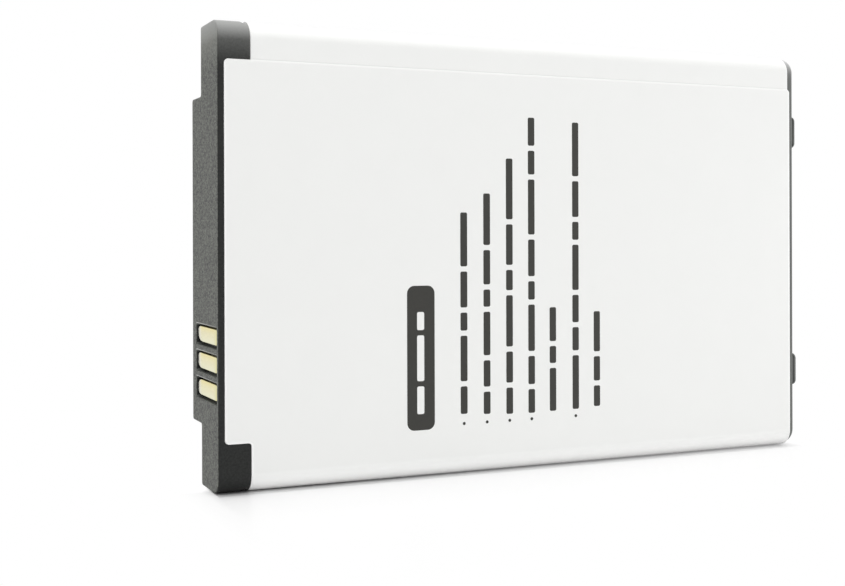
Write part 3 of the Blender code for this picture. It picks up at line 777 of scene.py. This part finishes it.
class PACK_OT_contact_cap(bpy.types.Operator):
    """Builds the contact cap: keyed face, contact windows, rim, film seat and skirt"""

    bl_idname = "pack.contact_cap"
    bl_label = "Contact cap"

    def execute(self, context):
        sizes, colours, _ = settings()
        steps = sizes.arc_steps
        radius, small = sizes.corner_radius, sizes.key_radius
        front, low, high = sizes.key_front, sizes.key_bottom, WIDTH - sizes.key_top
        seat = 2 * (sizes.film + sizes.play)
        inner = seat + sizes.wall
        keyed = partial(rounded_path, keyed_corners(front, low, high, 0),
                        [radius] + [small] * 6 + [radius], steps=steps)
        full = partial(rounded_path,
                       [(0, 0), (front, 0), (THICKNESS, 0), (THICKNESS, low), (THICKNESS, high),
                        (THICKNESS, WIDTH), (front, WIDTH), (0, WIDTH)],
                       [radius, 0, radius, 0, 0, radius, 0, radius], steps=steps)
        hollow = rounded_path(
            keyed_corners(front - sizes.wall, low + sizes.wall, high - sizes.wall, inner),
            [radius - inner] + [small] * 6 + [radius - inner], 0, steps)
        edge = sizes.contact_edge
        floor = sizes.key_depth + sizes.wall
        rows = [
            *edge_rows(keyed, edge, -edge, edge, EDGE_STEPS)[::-1],
            (sizes.key_depth, keyed(0)), (sizes.key_depth, full(0)),
            *edge_rows(full, sizes.rim_length - RIM_LIP, RIM_LIP, RIM_LIP, LIP_STEPS),
            (sizes.rim_length, full(seat)), (SKIRT_END, full(seat)), (SKIRT_END, full(inner)),
            (floor, full(inner)), (floor, hollow), (sizes.wall, hollow)]
        face = rows[0][1]
        shell = Shell()
        shell.add_rows(rows)
        mouths, walls = [], []
        half, lip = sizes.window_height / 2, sizes.window_lip
        for middle in np.array(window_middles()) - PACK_CORNER[2]:
            corners = rectangle(
                (sizes.window_near, middle - half), (sizes.window_far, middle + half))
            window = partial(rounded_path, corners, WINDOW_RADIUS, steps=SMALL_ARC_STEPS)
            rows = [*edge_rows(window, lip, -lip, -lip, LIP_STEPS)[::-1],
                    (sizes.wall, window(0))]
            shell.add_rows(rows)
            mouths.append(rows[0][1])
            walls.append(rows[-1][1])
        shell.add_flat(0, face, mouths)
        shell.add_flat(sizes.wall, hollow, walls)
        piece = shell.make("contact_cap_moulding")

        start, past = PANEL_START - sizes.play, SKIRT_END + MM
        low, high = sizes.panel_bottom - sizes.play, sizes.panel_top + sizes.play
        under = low - 2 * NOTCH_RADIUS
        step = sizes.rim_length + 0.2 * sizes.play
        panel = rounded_path(
            [(start, low), (step, low), (step, under), (past, under), (past, high), (start, high)],
            [sizes.panel_radius, NOTCH_RADIUS - sizes.play, 0, 0, 0, sizes.panel_radius],
            0, ARC_STEPS)
        tool = prism_y("panel_tool", panel, -MM, sizes.film + 2 * sizes.play)
        apply_boolean(piece, tool, "DIFFERENCE")
        margin = radius * GROOVE_MARGIN
        for surface, outwards in ((0, -1), (WIDTH, 1)):
            past, bottom = (surface + side * outwards * GROOVE_DEPTH for side in (1, -1))
            groove = np.array([(GROOVE_PLACE - outwards * GROOVE_WIDTH, past),
                               (GROOVE_PLACE, bottom),
                               (GROOVE_PLACE + outwards * GROOVE_WIDTH, past)])
            tool = prism_y("groove_tool", groove, margin, THICKNESS - margin)
            apply_boolean(piece, tool, "DIFFERENCE")
        finish_piece(piece, moulded_finish(colours.moulded), ["contact_cap"])
        return {"FINISHED"}


class PACK_OT_base_cap(bpy.types.Operator):
    """Builds the base cap: a rounded plate with a seat for the film and two pips"""

    bl_idname = "pack.base_cap"
    bl_label = "Base cap"

    def execute(self, context):
        sizes = settings()[0]
        steps = sizes.arc_steps
        start = BASE_LOW[0] - PACK_CORNER[0]
        length = BASE_HIGH[0] - PACK_CORNER[0] - PIP_HEIGHTS[0]
        edge = sizes.base_edge
        rim = length - edge
        seated = body_path(2 * (sizes.film + sizes.play), steps)
        margin = FOAM_MARGIN - sizes.play
        pocket = rounded_path(rectangle((margin, margin), (THICKNESS - margin, WIDTH - margin)),
                              sizes.corner_radius, 0, steps)
        rows = [(start + FOAM_THICKNESS, pocket), (start, pocket), (start, seated), (rim, seated),
                *edge_rows(lambda inset: body_path(BASE_INSET + inset, steps),
                           rim, edge, edge, BASE_EDGE_STEPS)]
        shell = Shell()
        shell.add_rows(rows)
        shell.add_flat(start + FOAM_THICKNESS, pocket)
        shell.add_flat(length, rows[-1][1])
        piece = shell.make("base_cap_moulding")
        half = sizes.pip_length / 2
        for place, height in zip(PIP_PLACES, PIP_HEIGHTS):
            corners = rectangle(
                (sizes.pip_edge, place - half), (THICKNESS - sizes.pip_edge, place + half))
            outline = partial(rounded_path, corners, PIP_CORNER, steps=ARC_STEPS)
            top = length + height
            rows = [(length - edge / 2, outline(0)),
                    *edge_rows(outline, top - PIP_RADIUS, PIP_RADIUS, PIP_RADIUS, EDGE_STEPS)]
            pip = Shell()
            pip.add_rows(rows)
            pip.add_flat(rows[0][0], rows[0][1])
            pip.add_flat(top, rows[-1][1])
            apply_boolean(piece, pip.make("pip"), "UNION")
        finish_piece(
            piece, bpy.data.materials["moulded_black_finish"], ["base_cap"])
        return {"FINISHED"}


def read_table(where, places, table):
    """Rows of a table at places between its own, column by column."""
    return np.column_stack([np.interp(where, places, column) for column in table.T])


def wrap_table():
    """The film's way round the pack, once round and then over itself.

    The way is the pack's own outline, gone round clockwise from low on the printed face. The
    table gives, at even distances along it, the outline's point (y, z), its inward normal and
    how deep the film's outer side lies: one film deep on the first turn, and on the surface
    where it lies over itself, with a slow ramp between the two on the bottom side.
    """
    sizes = settings()[0]
    outline = body_path(0, WRAP_ARC_STEPS)[::-1]
    off_start = np.abs(outline[:, 0]) + np.abs(outline[:, 1] - START_HEIGHT) * 1e-3
    first = int(np.argmin(off_start + (outline[:, 1] > WIDTH / 2)))
    outline = np.roll(outline, -first, axis=0)
    start = float(outline[0, 1])
    closed = np.vstack([outline, outline[:1]])
    ahead = np.linalg.norm(np.diff(closed, axis=0), axis=1)
    perimeter = ahead.sum()
    distances = np.concatenate([[0], np.cumsum(ahead)])
    along = np.arange(0, perimeter + sizes.panel_top - start, TABLE_STEP)
    before, point, after = (read_table((along + step) % perimeter, distances, closed)
                            for step in (-TABLE_STEP / 2, 0, TABLE_STEP / 2))
    tangent = after - before
    tangent /= np.linalg.norm(tangent, axis=1, keepdims=True)
    normal = np.column_stack([tangent[:, 1], -tangent[:, 0]])
    ramp_end = perimeter - start - RAMP_MARGIN * sizes.corner_radius
    ramp = np.clip((along - (ramp_end - RAMP_LENGTH)) / RAMP_LENGTH, 0, 1)
    ease = ramp * ramp * (3 - 2 * ramp)
    return along, point, normal, sizes.play + (1 - ease) * sizes.film, perimeter, start


def division(outline, longest):
    """How to divide a closed outline so that no stretch is longer than asked.

    Gives, for each point of the divided outline, the number of the point before it and the share
    of the way from there to the next one.
    """
    lengths = np.linalg.norm(np.roll(outline, -1, axis=0) - outline, axis=1)
    pieces = np.maximum(np.ceil(lengths / longest).astype(int), 1)
    which = np.repeat(np.arange(len(outline)), pieces)
    starts = np.repeat(np.cumsum(pieces) - pieces, pieces)
    return which, (np.arange(pieces.sum()) - starts) / pieces[which]


class PACK_OT_film(bpy.types.Operator):
    """Builds the film: one sheet wrapped round the pack, with its panel reaching over the caps"""

    bl_idname = "pack.film"
    bl_label = "Film"

    def execute(self, context):
        sizes, colours, _ = settings()
        along, point, normal, depth, perimeter, start = wrap_table()
        lift = perimeter - start
        notch = lift + sizes.panel_bottom
        base_turn = lift + sizes.corner_radius * (1 - math.pi / 2)
        end = lift + sizes.panel_top
        corners = [(0, WRAP_START), (notch, WRAP_START), (notch, PANEL_START), (end, PANEL_START),
                   (end, PANEL_END), (base_turn, PANEL_END), (base_turn, WRAP_END), (0, WRAP_END)]
        radii = [0, NOTCH_RADIUS, sizes.panel_radius, sizes.panel_radius, sizes.panel_radius,
                 TAIL_RADIUS, TAIL_RADIUS, 0]
        sheet = partial(rounded_path, corners, radii, steps=SMALL_ARC_STEPS)

        def wrapped(flat, sink):
            """Places flat (way, x) points in space.

            A point is the outline's point at its way, plus the inward normal times the depth of
            the film's outer side and the sink.
            """
            where, facing = (read_table(flat[:, 0], along, table) for table in (point, normal))
            facing /= np.linalg.norm(facing, axis=1, keepdims=True)
            reach = np.interp(flat[:, 0], along, depth) + sink
            return np.column_stack([flat[:, 1], where + facing * reach[:, None]])

        which, share = division(sheet(0), EDGE_STRETCH)
        rings = []
        for sink, path in [*edge_rows(sheet, FILM_EDGE, -FILM_EDGE, FILM_EDGE, LIP_STEPS),
                           (0, sheet(EDGE_WIDTH))]:
            ahead = np.roll(path, -1, axis=0)
            rings.append((path[which] + (ahead - path)[which] * share[:, None], sink))
        outline = rings[0][0]
        bends = np.abs(np.diff(normal, axis=0)).sum(axis=1) > 1e-6
        rows = np.unique(np.concatenate([along[:-1][bends][::6], np.arange(0, end, ROW_PITCH)]))
        rows = rows[(rows > ROW_MARGIN) & (rows < end - ROW_MARGIN)]
        columns = np.arange(
            WRAP_START + COLUMN_MARGINS[0], WRAP_END - COLUMN_MARGINS[1], COLUMN_PITCH)
        inside = np.array(np.meshgrid(rows, columns)).reshape(2, -1).T
        shell = Shell()
        flat, triangles = fill_flat(rings[-1][0], inside=inside)
        shell.add(wrapped(flat, 0), triangles)
        flat, triangles = fill_flat(outline, inside=inside)
        shell.add(wrapped(flat, FILM_UNDER * sizes.film), triangles[:, ::-1])
        layers = [wrapped(outline, FILM_UNDER * sizes.film)] + [wrapped(*ring) for ring in rings]
        # The cut edge's rings are marked 1 in edge, which the film's finish turns into a painted
        # highlight
        edge = np.repeat([1.0] * (len(layers) - 1) + [0.0], len(outline))
        shell.add(np.stack(layers), grid_quads(len(layers), len(outline)), edge)
        piece = shell.make("film_wrap", merge=0.0001 * MM)
        finish_piece(piece, film_finish(colours.film), ["wrap_label"])
        return {"FINISHED"}


def printed_blocks(name, centres, halves, radius, sink=0.0):
    """Flat blocks of ink with round corners, all in one mesh.

    A block's rim is its centre plus and minus its half sizes, with each corner rounded. It is held
    at two depths about the panel's surface, and a fan to the centre fills both ends.
    """
    outer, inner = (settings()[0].play - sink + INK * share for share in (-1, 0.5))
    shell = Shell(axis=1)
    for centre, half in zip(np.array(centres), np.array(halves)):
        rim = rounded_path(
            rectangle(centre - half, centre + half), min(radius, *half), 0, SMALL_ARC_STEPS)
        middle = np.broadcast_to(centre, rim.shape)
        shell.add_rows([(outer, middle), (outer, rim), (inner, rim), (inner, middle)])
    return shell.make(name)


def line_blocks(lines):
    """Blocks along each line: lengths in a fixed round, stretched to end where the line ends."""
    centres, halves = [], []
    turn = 0
    for place, low, high in lines:
        lengths = []
        room = (high - low) * MM
        while sum(lengths) + len(lengths) * BLOCK_GAP < room:
            lengths.append(BLOCK_LENGTHS[turn % len(BLOCK_LENGTHS)] * MM)
            turn += 1
        free = room - (len(lengths) - 1) * BLOCK_GAP
        lengths = np.array(lengths) * free / sum(lengths)
        starts = low * MM + np.concatenate([[0], np.cumsum(lengths + BLOCK_GAP)[:-1]])
        centres += [(place * MM, start + length / 2) for start, length in zip(starts, lengths)]
        halves += [(LINE_HEIGHT / 2, length / 2) for length in lengths]
    return centres, halves


class PACK_OT_print(bpy.types.Operator):
    """Prints plain marks on the panel: a solid bar and rows of blocks, with no lettering"""

    bl_idname = "pack.print"
    bl_label = "Print"

    def execute(self, context):
        ink = plain_finish(
            "printed_ink", settings()[1].ink, 0.45, 0.2 * MM, 0.001 * MM, (0.8, 1.5))
        white = bpy.data.materials["printed_film_finish"]
        centres, halves = line_blocks(LINES)
        centres += [(LINES[index][0] * MM, DOT_HEIGHT) for index in DOT_LINES]
        halves += [(DOT_RADIUS, DOT_RADIUS)] * len(DOT_LINES)
        bar = [(BAR_LOW + BAR_HIGH) / 2], [(BAR_HIGH - BAR_LOW) / 2]
        for piece, material in (
                (printed_blocks("printed_rows", centres, halves, BLOCK_RADIUS), ink),
                (printed_blocks("printed_bar", *bar, BAR_RADIUS), ink),
                (printed_blocks(
                    "printed_pale_row", *line_blocks([PALE_LINE]), BLOCK_RADIUS, INK), white)):
            finish_piece(piece, material, [])
        return {"FINISHED"}


class PACK_OT_contacts(bpy.types.Operator):
    """Builds the three gold contacts, each a plate with a softly crowned face"""

    bl_idname = "pack.contacts"
    bl_label = "Contacts"

    def execute(self, context):
        gold = gold_finish(settings()[1].gold)
        for name, radii in zip(PADS, PAD_CORNERS):
            low, high = (corner - PACK_CORNER for corner in node_box(name))
            corners = rectangle(low[1:] / PAD_STRETCH, high[1:] / PAD_STRETCH)

            def plate(inset):
                """The contact's outline, with its corners stretched along y."""
                return rounded_path(corners, radii, inset, PAD_ARC_STEPS) * PAD_STRETCH

            crown = low[0] + PAD_CROWN
            rows = [(high[0], plate(0)),
                    *edge_rows(plate, crown + PAD_EDGE, -PAD_EDGE, PAD_EDGE, PAD_EDGE_STEPS)]
            flat = rows[-1][1]
            middle = flat.mean(axis=0)
            for share in CROWN_SHARES:
                outline = middle + (flat - middle) * (1 - share)
                rows.append((low[0] + PAD_CROWN * (1 - share) ** 2, outline))
            shell = Shell()
            shell.add_rows(rows)
            for depth, outline in (rows[0], rows[-1]):
                shell.add_flat(depth, outline)
            piece = shell.make(name.replace("contact_pad", "contact_plate"))
            finish_piece(piece, gold, [name], crease=50)
        return {"FINISHED"}


class PACK_OT_inner_finishes(bpy.types.Operator):
    """Gives the cell, the circuit board and what they carry their finishes"""

    bl_idname = "pack.inner_finishes"
    bl_label = "Inner finishes"

    def execute(self, context):
        black, brown = (0.02, 0.02, 0.02), (0.42, 0.29, 0.17)
        rolled = metal_finish("rolled_aluminium", (0.76, 0.76, 0.77), 0.3, (1.0, 1.0, 0.05))
        nickel = metal_finish("nickel", (0.62, 0.6, 0.56), 0.28, (1.0, 1.0, 0.06))
        finishes = {
            "cell_can": metal_finish(
                "drawn_aluminium", (0.78, 0.78, 0.79), 0.36, (0.05, 1.0, 1.0)),
            "terminal_gasket": plain_finish(
                "gasket_resin", (0.6, 0.62, 0.62), 0.4, 0.2 * MM, 0.003 * MM),
            "lid_insulator": plain_finish(
                "insulating_sheet", (0.55, 0.47, 0.33), 0.8, 0.12 * MM, 0.01 * MM),
            "board_bracket": plain_finish(
                "bracket_white", (0.72, 0.72, 0.7), 0.55, 0.15 * MM, 0.006 * MM),
            "thermal_cutoff": plain_finish("package_black", black, 0.6, 0.06 * MM, 0.006 * MM),
            "base_pad": plain_finish(
                "adhesive_pad", (0.12, 0.12, 0.12), 0.9, 0.1 * MM, 0.03 * MM),
            "protection_board": board_finish((0.02, 0.16, 0.07))}
        for name in ("cell_lid", "fill_plug"):
            finishes[name] = rolled
        for name in ("cell_terminal", "positive_strip", "negative_strip", "terminal_lead",
                     "board_tab_positive", "board_tab_negative"):
            finishes[name] = nickel
        for name, axis, reach, colour in (
                ("sense_resistor", "Z", CHIP_BODY, (0.03, 0.03, 0.035)),
                ("filter_resistor", "Z", CHIP_BODY, (0.03, 0.03, 0.035)),
                ("filter_capacitor", "Z", CHIP_BODY, brown),
                ("bypass_capacitor", "Z", CHIP_BODY, brown),
                ("thermistor", "Z", CHIP_BODY, (0.05, 0.14, 0.09)),
                ("switch_mosfet", "Y", 1.6 * MM, black),
                ("protection_ic", "Y", 0.8 * MM, black)):
            finishes[name] = two_tone_finish(name, axis, reach, colour)
        for name, material in finishes.items():
            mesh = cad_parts[name].data
            mesh.materials.clear()
            mesh.materials.append(material)
        return {"FINISHED"}


def white_for_the_eye(nodes, shader, white, output, *shares):
    """Joins a shader to an output, with plain white in its place for the eye.

    The eye is the camera, a reflection or clear glass, and any shares multiply how white it sees.
    """
    paths = nodes.node("ShaderNodeLightPath").outputs
    seen = nodes.math("MAXIMUM", paths["Is Camera Ray"], paths["Is Glossy Ray"])
    seen = nodes.math("MAXIMUM", seen, paths["Is Transmission Ray"])
    plain = nodes.node(white, {"Color": (1, 1, 1), "Strength": 1.0})
    inputs = {0: nodes.product(seen, *shares), 1: shader.outputs[0], 2: plain.outputs[0]}
    mix = nodes.node("ShaderNodeMixShader", inputs)
    nodes.feed(nodes.tree.nodes[output].inputs["Surface"], mix.outputs[0])


def floor_finish():
    """White floor that keeps the pack's shadow close to it.

    The way beyond the pack is the length of (12 times what |x| is over half the pack's length,
    what |y| is over half its thickness). The floor turns white for the eye with that way, and at
    once behind the pack, under the notched back corners and towards the base. Its own tone, which
    the pack reflects, is a painted contact shadow that rises from dark over the first half
    millimetre.
    """
    finish = Finish("white_floor")
    half = np.array([*cad_box[1][:2], 0])
    beyond = finish.vector("SUBTRACT", finish.vector("ABSOLUTE", finish.place), half)
    beyond = finish.vector("MAXIMUM", beyond, (0, 0, 0))
    way = finish.vector("LENGTH", finish.vector("MULTIPLY", beyond, FLOOR_STRETCH))
    whiter = [
        finish.spread("X", -20 * MM, 20 * MM, 0.0, 0.24),
        finish.product(finish.spread("Y", -2 * MM, 0.0),
                       finish.spread("X", 2.1 * MM - half[0], 2.3 * MM - half[0], 1.0, 0.0)),
        finish.spread("Y", half[1], half[1] + 0.2 * MM),
        finish.spread("X", half[0] - 2 * MM, half[0], 0.0, 0.76)]
    whiter += [finish.spread(way, start * MM, end * MM, 0.0, share)
               for start, end, share in FLOOR_WHITER]
    far = whiter[0]
    for share in whiter[1:]:
        far = finish.math("ADD", share, far)
    mottle = finish.spread(finish.noise(40 * MM, 2.0, 0.5), 0.0, 1.0, 0.99, 1.0)
    # Painted contact shadow: the floor's tone is darker within half a millimetre of the pack
    tone = finish.product(finish.spread(way, 0.0, 0.5 * MM, 0.68, 0.9), mottle)
    grey = finish.node("ShaderNodeCombineColor", {0: tone, 1: tone, 2: tone})
    finish.set(Base_Color=grey.outputs["Color"], Roughness=0.3, Specular_IOR_Level=0.1)
    white_for_the_eye(finish, finish.shader, "ShaderNodeEmission", "Material Output", far)
    return finish.material


class PACK_OT_stage(bpy.types.Operator):
    """Sets the floor, the light, the white surroundings and the camera"""

    bl_idname = "pack.stage"
    bl_label = "Stage"

    def execute(self, context):
        stage = settings()[2]
        scene = context.scene
        scene.view_settings.view_transform = "Standard"

        world = bpy.data.worlds.new("white_room")
        scene.world = world
        world.use_nodes = True
        nodes = Nodes(world.node_tree)
        sky = nodes.tree.nodes["Background"]
        nodes.feed(sky.inputs["Color"], (1, 1, 1))
        nodes.feed(sky.inputs["Strength"], stage.sky_light)
        white_for_the_eye(nodes, sky, "ShaderNodeBackground", "World Output")

        reach = FLOOR_SIDE / 2
        mesh = bpy.data.meshes.new("floor")
        corners = rectangle((-reach, -reach), (reach, reach))
        mesh.from_pydata([(*corner, 0) for corner in corners], [], [(0, 1, 2, 3)])
        mesh.materials.append(floor_finish())
        floor = bpy.data.objects.new("floor", mesh)
        scene.collection.objects.link(floor)

        above = (*stage.lamp_place[:2], 0)
        for name, place, side, power, aim in (
                ("overhead_lamp", stage.lamp_place, stage.lamp_side, stage.lamp_power, above),
                ("side_lamp", stage.side_place, stage.side_side, stage.side_power,
                 SIDE_LAMP_AIM)):
            lamp = bpy.data.lights.new(name, "AREA")
            lamp.shape = "SQUARE"
            lamp.size = side
            lamp.energy = power
            item = bpy.data.objects.new(name, lamp)
            item.location = place
            towards = Vector(aim) - Vector(place)
            item.rotation_euler = towards.to_track_quat("-Z", "Y").to_euler()
            scene.collection.objects.link(item)

        camera = bpy.data.cameras.new("photo_camera")
        camera.lens = stage.focal_length
        camera.sensor_width = SENSOR_WIDTH
        camera.clip_start = 0.005
        camera.clip_end = 50
        camera.shift_y = -(IMAGE_HEIGHT / 2 - HORIZON_ROW) / IMAGE_WIDTH
        item = bpy.data.objects.new("photo_camera", camera)
        forward = np.array([math.sin(CAMERA_YAW), math.cos(CAMERA_YAW), 0])
        right = np.array([math.cos(CAMERA_YAW), -math.sin(CAMERA_YAW), 0])
        up = np.array([0, 0, 1])
        lean = math.tan(CAMERA_ROLL)
        axes = np.column_stack([right - lean * up, up + lean * right, -forward])
        turned = Matrix(axes.tolist()).normalized().to_4x4()
        item.matrix_world = Matrix.Translation(PACK_CORNER + CAMERA_PLACE) @ turned
        scene.collection.objects.link(item)
        scene.camera = item
        return {"FINISHED"}


class PACK_PT_panel(bpy.types.Panel):
    """Lists the pack's pieces and their settings in the 3D view's sidebar"""

    bl_label = "Battery pack"
    bl_idname = "PACK_PT_panel"
    bl_space_type = "VIEW_3D"
    bl_region_type = "UI"
    bl_category = "Battery pack"

    def draw(self, context):
        for operator in OPERATORS:
            self.layout.operator(operator.bl_idname)
        for group in settings():
            box = self.layout.box()
            for key in group.__annotations__:
                box.prop(group, key)


GROUPS = (("pack_sizes", PackSizes), ("pack_colours", PackColours), ("pack_stage", StageSettings))
OPERATORS = (PACK_OT_stage, PACK_OT_contact_cap, PACK_OT_base_cap, PACK_OT_film, PACK_OT_print,
             PACK_OT_contacts, PACK_OT_inner_finishes)


def register():
    for name, group in GROUPS:
        bpy.utils.register_class(group)
        setattr(bpy.types.Scene, name, PointerProperty(type=group))
    for item in (*OPERATORS, PACK_PT_panel):
        bpy.utils.register_class(item)


def unregister():
    for item in reversed((*OPERATORS, PACK_PT_panel)):
        bpy.utils.unregister_class(item)
    for name, group in reversed(GROUPS):
        delattr(bpy.types.Scene, name)
        bpy.utils.unregister_class(group)


def main():
    """Builds everything in order."""
    register()
    bpy.ops.pack.stage()
    bpy.ops.pack.contact_cap()
    bpy.ops.pack.base_cap()
    bpy.ops.pack.film()
    bpy.ops.pack.print()
    bpy.ops.pack.contacts()
    bpy.ops.pack.inner_finishes()


if __name__ == "__main__":
    main()
